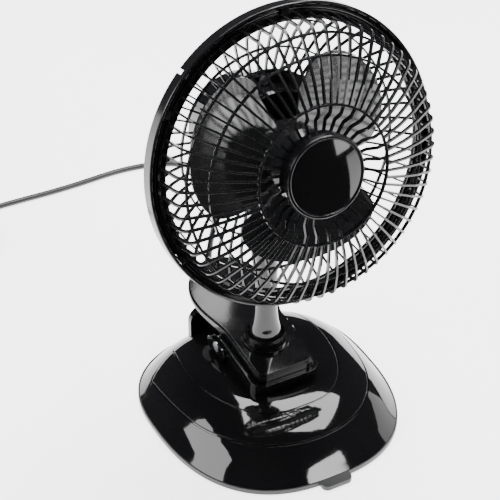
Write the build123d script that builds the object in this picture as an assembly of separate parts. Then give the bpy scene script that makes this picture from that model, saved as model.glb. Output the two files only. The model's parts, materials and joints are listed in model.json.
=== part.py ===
from build123d import *
from math import cos, degrees, hypot, pi, radians, sin, tan
import os

# Clip fan. Millimetres, +Z up, the face looks towards -Y. The origin is on the floor, under the middle
# of the object's footprint. The head and the clip's upper jaw have frames of their own, set below.

os.makedirs("parts", exist_ok=True)

# ---------------------------------------------------------------- driving sizes: fits and gaps
BODY_GAP = 0.3          # between pieces that move past each other
RUN_CLEAR = 0.06        # radial, of a shaft or pin in its bore
FAR = 100.0             # reach of cutting tools beyond every piece

# ---------------------------------------------------------------- driving sizes: base
BASE_HALF_WIDTH = 79.0
BASE_FRONT = 95.0       # from the widest station to the front edge
BASE_REAR = 71.0        # from the widest station to the rear edge
BASE_WIDE_Y = 12.0      # where the widest station lies
BASE_POWER = 2.5        # superellipse exponent of the footprint
FOOT_DROP = 0.8         # the rubber feet hold the plate this far off the floor
FOOT_RADIUS = 7.0
FOOT_RECESS = 0.8
FOOT_X = 53.0
FOOT_FRONT_Y = -50.0
FOOT_REAR_Y = 56.0
SKIRT_HEIGHT = 3.2      # edge of the bottom plate, seen as a band under the shell
SKIRT_STEP = 0.8        # the band stands this far out of the shell
DOME_HEIGHT = 29.6
DOME_POWER = 4.0
DOME_ROUND = 1.1
SHELL_WALL = 2.6
TAB_HALF_WIDTH = 10.5
TAB_REACH = 7.0
TAB_CORNER = 4.0
TAB_ROOT = 12.0
WEIGHT_LENGTH = 96.0
WEIGHT_WIDTH = 76.0
WEIGHT_THICK = 9.0
WEIGHT_CORNER = 8.0
WEIGHT_Y = 6.0
WEIGHT_SCREW_INSET = 8.0
BOSS_X = 44.0
BOSS_FRONT_Y = -38.0
BOSS_REAR_Y = 46.0
BOSS_RADIUS = 4.5
BASE_SCREW_RADIUS = 1.6
BASE_SCREW_HEAD_RADIUS = 3.4
BASE_SCREW_LENGTH = 11.0
SCREW_HEAD_THICK = 1.8

# ---------------------------------------------------------------- driving sizes: clip
NECK_Y = 7.0            # the neck's vertical axis
PIN_Y = 26.0
PIN_Z = 40.0
JAW_SLOPE = 8.0         # degrees, the upper jaw rises towards its handle
JAW_TOP = 14.25         # from the pin's axis up to the upper jaw's top face
JAW_NOSE = 47.5         # from the pin's axis forward to the nose
JAW_HANDLE = 64.0       # from the pin's axis back to the end of the handle
JAW_DEPTH = 6.2         # side walls of the upper jaw
JAW_PLATE = 3.0
JAW_WALL = 2.2
JAW_NOSE_HALF = 20.5
JAW_WAIST_HALF = 21.0
JAW_HANDLE_HALF = 27.0
JAW_NOSE_CORNER = 6.5
JAW_STEP = 1.0          # the top face stands back from the side walls
JAW_STEP_DEPTH = 1.9
HANDLE_LIP = 1.0        # the walls go on this far under the plate along the handle
LOWER_LIP = 3.2         # the lower jaw stands this far out round the upper one
LOWER_WALL = 3.0
LOWER_CORNER = 9.0
LOWER_BACK = 15.0       # from the pin's axis to the back of the lower jaw's walls
REAR_DROP_Y = 1.5       # behind this the walls fall away under the swinging handle
REAR_WALL_Z = -1.0
SHELF_BACK = -37.0      # back edge of the solid nose of either jaw
PAD_THICK = 1.3
PAD_REACH = 15.0
PAD_FRONT = 2.4
PAD_BACK = 9.4
EAR_THICK = 4.0
EAR_PROUD = 2.6
EAR_DROP = 1.5
EAR_LENGTH = 24.0
EAR_HEIGHT = 10.0
INNER_EAR_THICK = 4.0
INNER_EAR_RADIUS = 5.0
EAR_ROOT = 3.0
PIN_RADIUS = 2.0
PIN_HEAD_RADIUS = 3.4
PIN_HEAD_THICK = 1.2
SPRING_WIRE = 1.5
SPRING_RADIUS = 4.2     # of the wire's centre line
SPRING_TURNS = 5
SPRING_LEG = 12.0
SPRING_PITCH_GAP = 0.3
SPRING_UPPER_ANGLE = 2.0
SPRING_LOWER_ANGLE = -6.0
THUMB_Y = 60.0          # front face of the lower handle's upright
THUMB_TOP = 45.5
THUMB_HALF_WIDTH = 28.0
THUMB_THICK = 4.0
THUMB_CORNER = 10.0
WEB_HALF_WIDTH = 16.0
WEB_TOP = 37.0
WEB_FRONT_Y = 38.0
JAW_WAIST_Y = -4.0
JAW_WIDE_Y = 23.0
JAW_TAPER = 3.4
JAW_TAPER_Y = 47.5
WALL_TAPER_FROM = 5.0
WALL_TAPER_TO = 32.0
JAW_SCREW_RADIUS = 1.5
JAW_SCREW_HEAD_RADIUS = 3.0
JAW_SCREW_LENGTH = 7.0
JAW_SCREW_FRONT_X = 12.0
JAW_SCREW_FRONT_Y = -16.0
JAW_SCREW_REAR_X = 9.0
JAW_SCREW_REAR_Y = 37.5
JAW_BOSS_RADIUS = 3.6
JAW_BOSS_TOP = 38.6

# ---------------------------------------------------------------- driving sizes: neck
COLLAR_RADIUS = 13.8
COLLAR_BORE = 11.7
COLLAR_TOP = 57.3
COLLAR_FLOOR = 54.0
COLLAR_FLANGE_RADIUS = 15.8
COLLAR_FLANGE_THICK = 1.6
COLLAR_STEP = 0.9
NECK_FOOT_RADIUS = 10.1
NECK_RADIUS = 7.4
NECK_FLARE = 22.0       # height over which the foot narrows to the post
NECK_WAIST_OUT = 1.5     # the flare is this much wider than the post at this share of its height
NECK_WAIST_SHARE = 0.3
NECK_BORE = 3.2
NECK_SHOULDER = 6.0
SPIGOT_RADIUS = 7.0
SWIVEL_BOSS_RADIUS = 11.4
SWIVEL_BOSS_FLOOR = 45.4
SWIVEL_WASHER_RADIUS = 10.0
SWIVEL_WASHER_THICK = 1.2
SWIVEL_SCREW_RADIUS = 2.4
SWIVEL_HEAD_RADIUS = 5.0
SWIVEL_HEAD_THICK = 2.4
SLOT_WIDTH = 6.0        # small oval recess low on the neck
SLOT_HEIGHT = 3.4
SLOT_RISE = 5.9
SLOT_DEPTH = 1.2
SLOT_TURN = -28.0       # degrees round the neck from its front
PIVOT_Z = 150.0
FORK_RADIUS = 9.0
FORK_CHEEK = 4.0
FORK_DROP = 12.0        # from the pivot down to the floor of the fork
FORK_FOOT = 6.0
TONGUE_HALF = 5.7
TONGUE_RADIUS = 8.5
TONGUE_ROOT_HALF = 13.0
TONGUE_ROOT_SINK = 4.0  # the tongue's root lies this deep in the motor cover
TILT_BOLT_RADIUS = 2.5
TILT_HEAD_RADIUS = 5.0
TILT_HEAD_THICK = 2.6
KNOB_RADIUS = 9.0
KNOB_THICK = 9.0
KNOB_LOBES = 6

# ---------------------------------------------------------------- driving sizes: head
HEAD_Y = -26.3
HEAD_Z = 210.0
HEAD_TILT = 11.9        # degrees, the face looks up
RIM_RADIUS = 92.5       # outer face of the front ring's skirt
RIM_WALL = 1.3
RIM_REAR_Z = -7.2       # rear edge of the skirt
RIM_UNDER_Z = -4.2      # underside of the front ring inside the skirt
LIP_WIDTH = 2.1         # rolled lip over the skirt
LIP_TOP = 1.3
LIP_DROP = 0.95
CHANNEL_WIDTH = 1.6     # channel inside the lip
CHANNEL_Z = -2.9
BEAD_WIDTH = 1.5        # raised bead inside the channel
BEAD_TOP = -1.4
BEAD_DROP = 0.5
GROOVE_WIDTH = 0.5
GROOVE_Z = -2.4
LEDGE_WIDTH = 1.5       # the front ribs stand on this ledge
LEDGE_TOP = -0.8
FLANGE_WIDTH = 2.5      # sloping flange from the ledge to the inner lip
FLANGE_Z = -1.8
FLANGE_RISE = 0.6
INNER_LIP_WIDTH = 0.8
INNER_LIP_TOP = -0.6
INNER_LIP_BACK = -2.4
UNDER_BEVEL = 3.6       # the underside slopes up over this width behind the inner lip
NOTCH_ANGLE = 132.8     # degrees, a short gap in the skirt
NOTCH_LENGTH = 3.0
NOTCH_TOP = -1.9
NOTCH_DEPTH = 3.0       # measured inwards from the skirt's face
RIB_COUNT = 64          # front ribs; every second one reaches the hub
RIB_FIRST = -0.4        # degrees, one of the long ribs
RIB_THICK = 1.2
RIB_DEPTH = 2.0
RIB_FOOT_RADIUS = 86.4
RIB_FOOT_Z = -2.0       # sunk in the ledge
SHOULDER_RADIUS = 84.9  # where the ribs turn from the side wall to the face
SHOULDER_Z = 19.3
SHOULDER_ROUND = 8.0
RIB_BOW = 0.9           # the face's rise over a straight line between rings 3 and 4
RING2_RADIUS = 80.2
RING2_Z = 22.0
RING3_RADIUS = 68.8
RING3_Z = 27.9
RING4_RADIUS = 42.4
RING4_Z = 35.1
RING_WIDTH = 1.25
RING_THICK = 1.8
RIB_STEP_RADIUS = 36.3  # the long ribs step back here on their way to the hub
RIB_STEP_RUN = 5.0
RIB_STEP_DEPTH = 4.5
RIB_STEP_FALL = 0.5     # fall of the ribs before and after the step
HUB_RADIUS = 24.9
HUB_TOP = 37.5
HUB_WALL = 2.4
HUB_ROUND = 0.9
HUB_BACK = 27.0
HUB_FLOOR = 1.5
HUB_LEDGE_OUT = 0.7     # low ledge round the hub
HUB_LEDGE_Z = 35.5
HUB_LEDGE_THICK = 1.5
CAP_RISE = 2.4
CAP_SINK = 0.35
CLIP_COUNT = 6
CLIP_FIRST = 28.2       # degrees
CLIP_WIDTH = 5.0
CLIP_THICK = 1.0
CLIP_TOP = 0.2
CLIP_HEAD_THICK = 1.3
CLIP_HEAD_REACH = 2.8   # the hook's head lies this far over the bead
CLIP_LOW = -8.5
CLIP_SLOT = 8.4
CLIP_PLAY = 0.15        # between a hook and the sides of its slot
BAND_RADIUS = 88.7      # rear grille's band, inside the skirt
BAND_WIDTH = 2.7
BAND_REAR_Z = -9.6
BAND_INNER_Z = -7.2
BAND_BEVEL = 0.7
BACK_RIB_COUNT = 54
BACK_RIB_FIRST = 5.33   # degrees
BACK_RIB_THICK = 1.0
BACK_RIB_DEPTH = 2.0
BACK_LINE = [(88.4, -9.0), (84.0, -14.3), (77.0, -20.8), (68.0, -27.2), (59.0, -30.8), (51.0, -32.9)]
BACK_RIB_END_Z = -34.6  # the line's last point, at the hub
BACK_OUTER_RING = 77.6
BACK_OUTER_RING_Z = -18.9
BACK_RING_RADIUS = 58.9
BACK_RING_Z = -28.8
BACK_RING_WIDTH = 1.0
BACK_RING_THICK = 1.9
BACK_HUB_RADIUS = 43.6
BACK_HUB_Z = -33.0
BACK_FLANGE = 3.0
BACK_BORE = 34.0

# ---------------------------------------------------------------- driving sizes: blades and motor
BLADE_COUNT = 3
BLADE_RADIUS = 68.3
BLADE_FIRST = 39.0      # degrees
BLADE_SLOPE = 0.21      # rise across the blade: the leading edge lies behind the trailing one
BLADE_CAMBER = 3.0
BLADE_THICK = 1.6
BLADE_TWIST = 0.6       # the slope grows by this share from the tip to the axis
BLADE_ROOT_SPAN = 50.0  # degrees to either side
# outline from the leading edge over the tip to the trailing edge, as degrees from the middle and share of
# the radius
BLADE_OUTLINE = [(-48.5, 0.62), (-48.0, 0.80), (-39.0, 0.90), (-31.0, 0.945), (-16.0, 0.985), (2.0, 1.0),
                 (20.0, 0.99), (31.0, 0.95), (38.5, 0.88), (43.0, 0.77), (48.0, 0.62)]
BLADE_HUB_RADIUS = 20.0
BLADE_HUB_BEVEL = 4.0
BLADE_HUB_FRONT = 13.0
BLADE_HUB_BACK = -11.0
BLADE_HUB_WALL = 2.0
BLADE_BORE_BOSS = 6.5
BLADE_BORE_BACK = -9.0
BLADE_Z = -1.0
NUT_RADIUS = 6.0
NUT_LENGTH = 6.0
SHAFT_RADIUS = 3.0
SHAFT_PROUD = 1.0       # the shaft's ends stand out of the nut and of the rear bearing
MOTOR_FACE_Z = -18.0
MOTOR_RADIUS = 36.0
MOTOR_WALL = 2.2
MOTOR_BEVEL = 1.5
MOTOR_FLANGE_RADIUS = 42.4
MOTOR_FLANGE_THICK = 2.2
COVER_RADIUS = 38.0
COVER_END_RADIUS = 33.0
COVER_BACK_Z = -76.0
COVER_WALL = 2.2
COVER_ROUND = 4.0
COVER_FLANGE_THICK = 2.5
VENT_COUNT = 18
VENT_WIDTH = 3.0
VENT_INNER = 15.0
VENT_OUTER = 27.0
STATOR_RADIUS = 31.0
YOKE = 4.5
POLE_COUNT = 4
POLE_WIDTH = 9.0
STATOR_THICK = 18.0
STATOR_Z = -44.0
ROTOR_RADIUS = 13.0
AIR_GAP = 0.4
COIL_THICK = 3.2
COIL_INNER = 16.0
COIL_OUTER = 25.0
STATOR_BARS = 4
STATOR_BAR_FIRST = 22.5 # degrees
STATOR_BAR_WIDTH = 5.0
STATOR_LEDGE = 2.5
BEARING_RADIUS = 6.0
BEARING_LENGTH = 7.0
BEARING_BOSS_WALL = 2.2
SPIDER_WIDTH = 3.0      # arms that hold the rear bearing's boss
REAR_BEARING_Z = -64.0
THRUST_RADIUS = 5.2
THRUST_THICK = 1.0
HOUSING_SCREW_CIRCLE = 39.2
HOUSING_SCREW_LENGTH = 7.0
HOUSING_SCREW_RADIUS = 1.5
HOUSING_SCREW_HEAD = 2.7
HOUSING_SCREWS = 3
KNOB_DIAL_RADIUS = 9.5
KNOB_DIAL_THICK = 8.0
KNOB_GRIP_WIDTH = 3.2
KNOB_FACE_SINK = 1.2    # the grip bar stands this far out of the dial's face
SWITCH_HALF = 8.5
SWITCH_THICK = 5.0
SWITCH_STEM_RADIUS = 2.6
SWITCH_STEM_LENGTH = 6.0
TERMINAL_SIZE = 7.0
TERMINAL_Y = -23.0

# ---------------------------------------------------------------- driving sizes: cord
CORD_DIAMETER = 4.4
CORD_EXIT_Z = 11.0
RELIEF_LENGTH = 21.0
RELIEF_ROOT_RADIUS = 5.2
RELIEF_TIP_RADIUS = 3.2
RELIEF_NECK_RADIUS = 4.0
RELIEF_INSIDE = 14.0
RELIEF_SHOULDER = 2.0
RELIEF_GROOVES = 4
RELIEF_GROOVE_PITCH = 4.6
RELIEF_GROOVE_WIDTH = 1.6
RELIEF_GROOVE_RADIUS = 2.8
COIL_MID_RADIUS = 25.0
COIL_ACROSS = 17.6      # four turns side by side
COIL_HEIGHT = 8.8       # in two layers
COIL_X = -128.0
COIL_LIFT = 0.9
COIL_CORNER = 2.1
COIL_TURNS = 8
TIE_WIDTH = 6.0
TIE_THICK = 0.8
PLUG_START = 14.0
PLUG_LENGTH = 30.0
PLUG_WIDTH = 24.0
PLUG_THICK = 15.0
PLUG_TAIL = 12.0
PLUG_TAIL_STEP = 0.8    # the tail is this much wider than the cord at its start, and by the root's at its end
PLUG_TAIL_ROOT = 2.6
PLUG_PIN_LENGTH = 17.0
PLUG_PIN_WIDTH = 6.3
PLUG_PIN_THICK = 1.5
PIN_SPACING = 12.7
CORD_ROUTE = [
    (25.0, 100.0, 11.0),
    (25.0, 123.0, 11.0),
    (30.0, 150.0, 2.3),
    (52.0, 186.0, 2.3),
    (80.0, 222.0, 2.3),
    (92.0, 256.0, 2.3),
    (74.0, 285.0, 2.3),
    (34.0, 297.0, 2.3),
    (-20.0, 293.0, 2.3),
    (-68.0, 295.0, 2.3),
    (-116.0, 294.5, 2.3),
]

# engraved lines on the base, as (x, y) points of the right-hand half; the left half mirrors them
OUTER_LINE = [(0, -63.3), (22, -60.2), (37, -53), (51, -38.8), (61, -19), (65.6, 5), (67, 26), (66, 44)]
INNER_LINE = [(0, -41.9), (13, -41.2), (22, -38.6), (30.5, -32.5), (38, -23), (44, -11), (48.5, 6), (50, 22),
              (48, 38), (44.5, 54)]
LINE_WIDTH = 1.1
LINE_DEPTH = 0.6

# ---------------------------------------------------------------- sizes that follow
PLATE_TOP = FOOT_DROP + SKIRT_HEIGHT
CORD_RADIUS = CORD_DIAMETER / 2
COIL_OUTER_TURN = COIL_MID_RADIUS + (COIL_ACROSS - CORD_DIAMETER) / 2
NECK_FOOT_Z = COLLAR_FLOOR + BODY_GAP
FORK_FLOOR_Z = PIVOT_Z - FORK_DROP
FORK_INNER = TONGUE_HALF + BODY_GAP
FORK_OUTER = FORK_INNER + FORK_CHEEK
CHANNEL_OUTER = RIM_RADIUS - LIP_WIDTH
BEAD_OUTER = CHANNEL_OUTER - CHANNEL_WIDTH
BEAD_INNER = BEAD_OUTER - BEAD_WIDTH
LEDGE_OUTER = BEAD_INNER - GROOVE_WIDTH
LEDGE_INNER = LEDGE_OUTER - LEDGE_WIDTH
FLANGE_INNER = LEDGE_INNER - FLANGE_WIDTH
RING_INNER = FLANGE_INNER - INNER_LIP_WIDTH
CLIP_INNER = BAND_RADIUS + BODY_GAP
BACK_SEAT_Z = BACK_HUB_Z - BACK_FLANGE
EAR_INNER_X = JAW_WAIST_HALF + LOWER_LIP - LOWER_WALL - BODY_GAP - INNER_EAR_THICK
LOWER_HALF = JAW_WAIST_HALF + LOWER_LIP
LOWER_TOP = JAW_TOP - JAW_DEPTH - BODY_GAP
SHAFT_BACK = REAR_BEARING_Z - BEARING_LENGTH / 2 - SHAFT_PROUD

# the head's own frame: +Z leaves the face, +Y climbs along it
tilt = radians(HEAD_TILT)
HEAD = Plane(origin=(0, HEAD_Y, HEAD_Z), x_dir=(1, 0, 0), z_dir=(0, -cos(tilt), sin(tilt)))
PIVOT_DY = NECK_Y - HEAD_Y
PIVOT_DZ = PIVOT_Z - HEAD_Z
PIVOT_LOCAL_Y = PIVOT_DY * sin(tilt) + PIVOT_DZ * cos(tilt)
PIVOT_LOCAL_Z = -PIVOT_DY * cos(tilt) + PIVOT_DZ * sin(tilt)

# the clip's frame: its origin is on the pin, +Y runs back along the upper jaw, +Z leaves its top
slope = radians(JAW_SLOPE)
JAW = Plane(origin=(0, PIN_Y, PIN_Z), x_dir=(1, 0, 0), z_dir=(0, -sin(slope), cos(slope)))


# ---------------------------------------------------------------- helpers
def disc(radius, low, high, x=0, y=0):
    """Upright cylinder between two heights."""
    return Pos(x, y, (low + high) / 2) * Cylinder(radius, high - low)


def block(x_span, y_span, z_span):
    """Box from three (low, high) pairs."""
    low, high = zip(x_span, y_span, z_span)
    centre = [(a + b) / 2 for a, b in zip(low, high)]
    size = [b - a for a, b in zip(low, high)]
    return Pos(*centre) * Box(*size)


def revolved(points):
    """Solid of revolution about Z from (radius, height) corners."""
    return revolve(Plane.XZ * make_face(Polyline(*points, close=True)), Axis.Z)


def ring(outer, inner, low, high):
    return revolved([(inner, low), (outer, low), (outer, high), (inner, high)])


def rod_x(radius, low, high, y, z):
    """Cylinder along X between two stations."""
    return Pos((low + high) / 2, y, z) * Rot(0, 90, 0) * Cylinder(radius, high - low)


def side_slab(points, low, high):
    """Prism along X from (y, z) corners."""
    face = Plane.YZ * make_face(Polyline(*points, close=True))
    return Pos(low, 0, 0) * extrude(face, high - low)


def around(count, piece, first=0.0):
    """Copies of a piece turned about Z."""
    return [Rot(0, 0, first + 360 * step / count) * piece for step in range(count)]


def group(pieces):
    return Compound(children=list(pieces))


def in_head(shape):
    return shape.moved(HEAD.location)


def in_jaw(shape):
    return shape.moved(JAW.location)


def offset_line(points, distance):
    """Open line of (r, z) points moved sideways, to the right of its direction."""
    normals = []
    for (r0, z0), (r1, z1) in zip(points, points[1:]):
        length = hypot(r1 - r0, z1 - z0)
        normals.append(((z1 - z0) / length, (r0 - r1) / length))
    moved = []
    for index, (r, z) in enumerate(points):
        before = normals[max(index - 1, 0)]
        after = normals[min(index, len(normals) - 1)]
        mid_r, mid_z = before[0] + after[0], before[1] + after[1]
        share = 2 * distance / (mid_r ** 2 + mid_z ** 2)
        moved.append((r + mid_r * share, z + mid_z * share))
    return moved


# ---------------------------------------------------------------- base
def footprint(inset, scale=1.0):
    """Face of the base's outline: a superellipse, longer ahead of its widest station than behind it."""
    steps = 40
    points = []
    for step in range(steps):
        turn = 2 * pi * step / steps
        across = abs(cos(turn)) ** (2 / BASE_POWER) * (1 if cos(turn) > 0 else -1)
        along = abs(sin(turn)) ** (2 / BASE_POWER)
        reach = BASE_REAR - inset if sin(turn) > 0 else inset - BASE_FRONT
        points.append((scale * (BASE_HALF_WIDTH - inset) * across, BASE_WIDE_Y + scale * reach * along))
    return make_face(Spline(*points, periodic=True))


def dome(inset):
    """Solid dome on the bottom plate, its surface `inset` under the outer one."""
    levels = (1.0, 0.975, 0.94, 0.89, 0.82, 0.73, 0.61, 0.46, 0.28)
    sections = []
    for level in levels:
        height = (DOME_HEIGHT - inset) * (1 - level ** DOME_POWER) ** DOME_ROUND
        sections.append(Pos(0, 0, PLATE_TOP + height) * footprint(inset, level))
    return loft(sections)


def boss_places():
    return [(side * BOSS_X, y) for side in (-1, 1) for y in (BOSS_FRONT_Y, BOSS_REAR_Y)]


def weight_screw_places():
    reach = WEIGHT_LENGTH / 2 - WEIGHT_SCREW_INSET
    return [(0, WEIGHT_Y - reach), (0, WEIGHT_Y + reach)]


def feet_places():
    return [(side * FOOT_X, y) for side in (-1, 1) for y in (FOOT_FRONT_Y, FOOT_REAR_Y)]


def make_bottom_plate():
    plate = Pos(0, 0, FOOT_DROP) * extrude(footprint(-SKIRT_STEP), SKIRT_HEIGHT)
    tab_front = BASE_WIDE_Y - BASE_FRONT - TAB_REACH
    tab_length = TAB_REACH + TAB_ROOT
    tab = RectangleRounded(2 * TAB_HALF_WIDTH, tab_length, TAB_CORNER)
    plate += Pos(0, tab_front + tab_length / 2, FOOT_DROP) * extrude(tab, SKIRT_HEIGHT)
    for x, y in feet_places():
        plate -= disc(FOOT_RADIUS, 0, FOOT_DROP + FOOT_RECESS, x, y)
    for x, y in boss_places() + weight_screw_places():
        plate -= disc(BASE_SCREW_RADIUS, 0, PLATE_TOP, x, y)
        plate -= disc(BASE_SCREW_HEAD_RADIUS + BODY_GAP, 0, FOOT_DROP + SCREW_HEAD_THICK, x, y)
    return plate


def make_feet():
    return group(disc(FOOT_RADIUS, 0, FOOT_DROP + FOOT_RECESS, x, y) for x, y in feet_places())


def base_screw(x, y):
    head_top = FOOT_DROP + SCREW_HEAD_THICK
    screw = disc(BASE_SCREW_HEAD_RADIUS, FOOT_DROP, head_top, x, y)
    return screw + disc(BASE_SCREW_RADIUS, head_top, head_top + BASE_SCREW_LENGTH, x, y)


def make_base_screws():
    return group(base_screw(x, y) for x, y in boss_places() + weight_screw_places())


def make_weight():
    sketch = RectangleRounded(WEIGHT_WIDTH, WEIGHT_LENGTH, WEIGHT_CORNER)
    weight = Pos(0, WEIGHT_Y, PLATE_TOP) * extrude(sketch, WEIGHT_THICK)
    depth = FOOT_DROP + SCREW_HEAD_THICK + BASE_SCREW_LENGTH
    for x, y in weight_screw_places():
        weight -= disc(BASE_SCREW_RADIUS, PLATE_TOP, depth, x, y)
    return weight


def line_band(half_points):
    """Upright wall over one engraved line, from its right-hand points and their mirror images."""
    left = [(-x, y) for x, y in reversed(half_points[1:])]
    middle = left + list(half_points)
    near = Spline(*offset_line(middle, LINE_WIDTH / 2))
    far = Spline(*offset_line(middle, -LINE_WIDTH / 2))
    face = make_face([near, far, Line(near @ 0, far @ 0), Line(near @ 1, far @ 1)])
    return Pos(0, 0, PLATE_TOP) * extrude(face, DOME_HEIGHT + SKIRT_HEIGHT)


def relief_socket():
    """Hole for the neck of the cord's guard, with room for its shoulder outside."""
    x, tip = CORD_ROUTE[0][0], CORD_ROUTE[0][1]
    hole = disc(RELIEF_NECK_RADIUS, RELIEF_LENGTH, RELIEF_LENGTH + RELIEF_INSIDE)
    hole += disc(RELIEF_ROOT_RADIUS + BODY_GAP, 0, RELIEF_LENGTH)
    return Pos(x, tip, CORD_EXIT_Z) * Rot(90, 0, 0) * hole


def make_shell(outer):
    shell = outer - dome(SHELL_WALL)
    for x, y in boss_places():
        boss = disc(BOSS_RADIUS, PLATE_TOP, PLATE_TOP + DOME_HEIGHT, x, y)
        shell += boss & outer
        shell -= disc(BASE_SCREW_RADIUS, PLATE_TOP, FOOT_DROP + SCREW_HEAD_THICK + BASE_SCREW_LENGTH, x, y)
    skin = dome(LINE_DEPTH)
    for points in (OUTER_LINE, INNER_LINE):
        shell -= line_band(points) - skin
    for x, y in jaw_screw_places():
        shell -= disc(JAW_SCREW_RADIUS, PLATE_TOP, PLATE_TOP + DOME_HEIGHT + 1, x, y)
        shell -= disc(JAW_SCREW_HEAD_RADIUS + BODY_GAP, PLATE_TOP, jaw_screw_top(), x, y)
    return shell - relief_socket()


# ---------------------------------------------------------------- clip: lower jaw, pads, pin, spring
def jaw_screw_places():
    places = [(side * JAW_SCREW_FRONT_X, JAW_SCREW_FRONT_Y) for side in (-1, 1)]
    return places + [(side * JAW_SCREW_REAR_X, JAW_SCREW_REAR_Y) for side in (-1, 1)]


def jaw_screw_top():
    return PLATE_TOP + DOME_HEIGHT - SHELL_WALL - BODY_GAP


def lower_outline(grow):
    width = 2 * (LOWER_HALF + grow)
    front = -JAW_NOSE - LOWER_LIP - grow
    back = LOWER_BACK + grow
    face = RectangleRounded(width, back - front, LOWER_CORNER + grow)
    return Pos(0, (front + back) / 2) * face


def make_lower_jaw(outer):
    """Walls that stand on the base's crown, with the outer ears, a front shelf and the lower handle."""
    walls = extrude(lower_outline(0), -PIN_Z) - extrude(lower_outline(-LOWER_WALL), -PIN_Z)
    shelf = extrude(lower_outline(0), -PIN_Z)
    shelf &= block((-FAR, FAR), (-FAR, SHELF_BACK), (-PIN_Z, 0))
    jaw = Pos(0, 0, LOWER_TOP) * walls + Pos(0, 0, LOWER_TOP - PAD_THICK) * shelf
    pad = pad_block(PAD_REACH, LOWER_TOP - PAD_THICK, LOWER_TOP)
    jaw -= pad
    rear_drop = [(REAR_DROP_Y, FAR), (REAR_DROP_Y, LOWER_TOP - 1), (LOWER_BACK, REAR_WALL_Z)]
    jaw -= side_slab(rear_drop + [(FAR, REAR_WALL_Z), (FAR, FAR)], -FAR, FAR)
    jaw = in_jaw(jaw)
    web = block((-WEB_HALF_WIDTH, WEB_HALF_WIDTH), (WEB_FRONT_Y, THUMB_Y + THUMB_THICK / 2), (0, WEB_TOP))
    thumb = RectangleRounded(2 * THUMB_HALF_WIDTH, THUMB_TOP - PLATE_TOP, THUMB_CORNER)
    thumb = Plane.XZ * (Pos(0, (THUMB_TOP + PLATE_TOP) / 2) * thumb)
    jaw += web + Pos(0, THUMB_Y, 0) * extrude(thumb, -THUMB_THICK)
    for side in (-1, 1):
        middle = side * (LOWER_HALF + EAR_PROUD - EAR_THICK / 2)
        ear = Plane.YZ * SlotOverall(EAR_LENGTH, EAR_HEIGHT)
        jaw += Pos(middle - EAR_THICK / 2, PIN_Y, PIN_Z - EAR_DROP) * extrude(ear, EAR_THICK)
    for x, y in jaw_screw_places():
        jaw += disc(JAW_BOSS_RADIUS, PLATE_TOP, JAW_BOSS_TOP, x, y)
    jaw -= outer + block((-FAR, FAR), (-FAR, FAR), (-FAR, PLATE_TOP))
    for x, y in jaw_screw_places():
        jaw -= disc(JAW_SCREW_RADIUS, PLATE_TOP, jaw_screw_top() + JAW_SCREW_LENGTH, x, y)
    jaw -= rod_x(PIN_RADIUS, -FAR, FAR, PIN_Y, PIN_Z)
    jaw -= rod_x(PIN_HEAD_RADIUS + BODY_GAP, -FAR, -pin_seat(), PIN_Y, PIN_Z)
    jaw -= rod_x(PIN_HEAD_RADIUS + BODY_GAP, pin_seat(), FAR, PIN_Y, PIN_Z)
    return jaw


def pin_seat():
    """Station of the pin head's seat, sunk in the outer ear."""
    return LOWER_HALF + EAR_PROUD - PIN_HEAD_THICK


def pad_block(half_width, low, high):
    return block((-half_width, half_width), (-JAW_NOSE + PAD_FRONT, -JAW_NOSE + PAD_BACK), (low, high))


def jaw_screw(x, y):
    seat = jaw_screw_top()
    head = disc(JAW_SCREW_HEAD_RADIUS, seat - SCREW_HEAD_THICK, seat, x, y)
    return head + disc(JAW_SCREW_RADIUS, seat, seat + JAW_SCREW_LENGTH, x, y)


def make_pin():
    seat = pin_seat()
    pin = rod_x(PIN_RADIUS, -seat, seat + PIN_HEAD_THICK, PIN_Y, PIN_Z)
    return pin + rod_x(PIN_HEAD_RADIUS, seat, seat + PIN_HEAD_THICK, PIN_Y, PIN_Z)


def make_pin_cap():
    seat = pin_seat()
    return rod_x(PIN_HEAD_RADIUS, -seat - PIN_HEAD_THICK, -seat, PIN_Y, PIN_Z)


def spring_leg(x, angle):
    """Straight end of the spring: leaves the coil's rim and runs back, `angle` degrees above level."""
    run = Vector(0, cos(radians(angle)), sin(radians(angle)))
    side = -1 if angle < 0 else 1
    rim = Vector(0, -run.Z, run.Y) * side * SPRING_RADIUS
    start = Vector(x, PIN_Y, PIN_Z) + rim - run * (SPRING_WIRE / 2)
    return Solid.make_cylinder(SPRING_WIRE / 2, SPRING_LEG, Plane(origin=start, z_dir=run))


def make_spring():
    length = SPRING_TURNS * (SPRING_WIRE + SPRING_PITCH_GAP)
    path = Helix(length / SPRING_TURNS, length, SPRING_RADIUS)
    coil = sweep(Plane(origin=path @ 0, z_dir=path % 0) * Circle(SPRING_WIRE / 2), path=path)
    coil = Pos(-length / 2, PIN_Y, PIN_Z) * Rot(0, 90, 0) * coil
    upper = spring_leg(-length / 2, SPRING_UPPER_ANGLE)
    lower = spring_leg(length / 2, SPRING_LOWER_ANGLE)
    return coil + [upper, lower]


# ---------------------------------------------------------------- clip: upper jaw
def jaw_outline(grow):
    """Face of the upper jaw's outline in its own frame, `grow` mm larger all round."""
    nose = -JAW_NOSE - grow
    corner = JAW_NOSE_CORNER + grow
    half = JAW_NOSE_HALF + grow
    waist = JAW_WAIST_HALF + grow
    wide = JAW_HANDLE_HALF + grow
    end = JAW_HANDLE + grow
    flat = Line((0, nose), (half - corner, nose))
    turn = JernArc(start=flat @ 1, tangent=(1, 0), radius=corner, arc_size=90)
    side = Line(turn @ 1, (waist, JAW_WAIST_Y))
    points = [side @ 1, (wide, JAW_WIDE_Y), (wide - JAW_TAPER, JAW_TAPER_Y), (0, end)]
    back = Spline(*points, tangents=[(0.06, 1), (-1, 0)], tangent_scalars=[1.0, 1.0])
    right = [flat, turn, side, back]
    left = [mirror(edge, Plane.YZ) for edge in right]
    return make_face(right + left)


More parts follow.
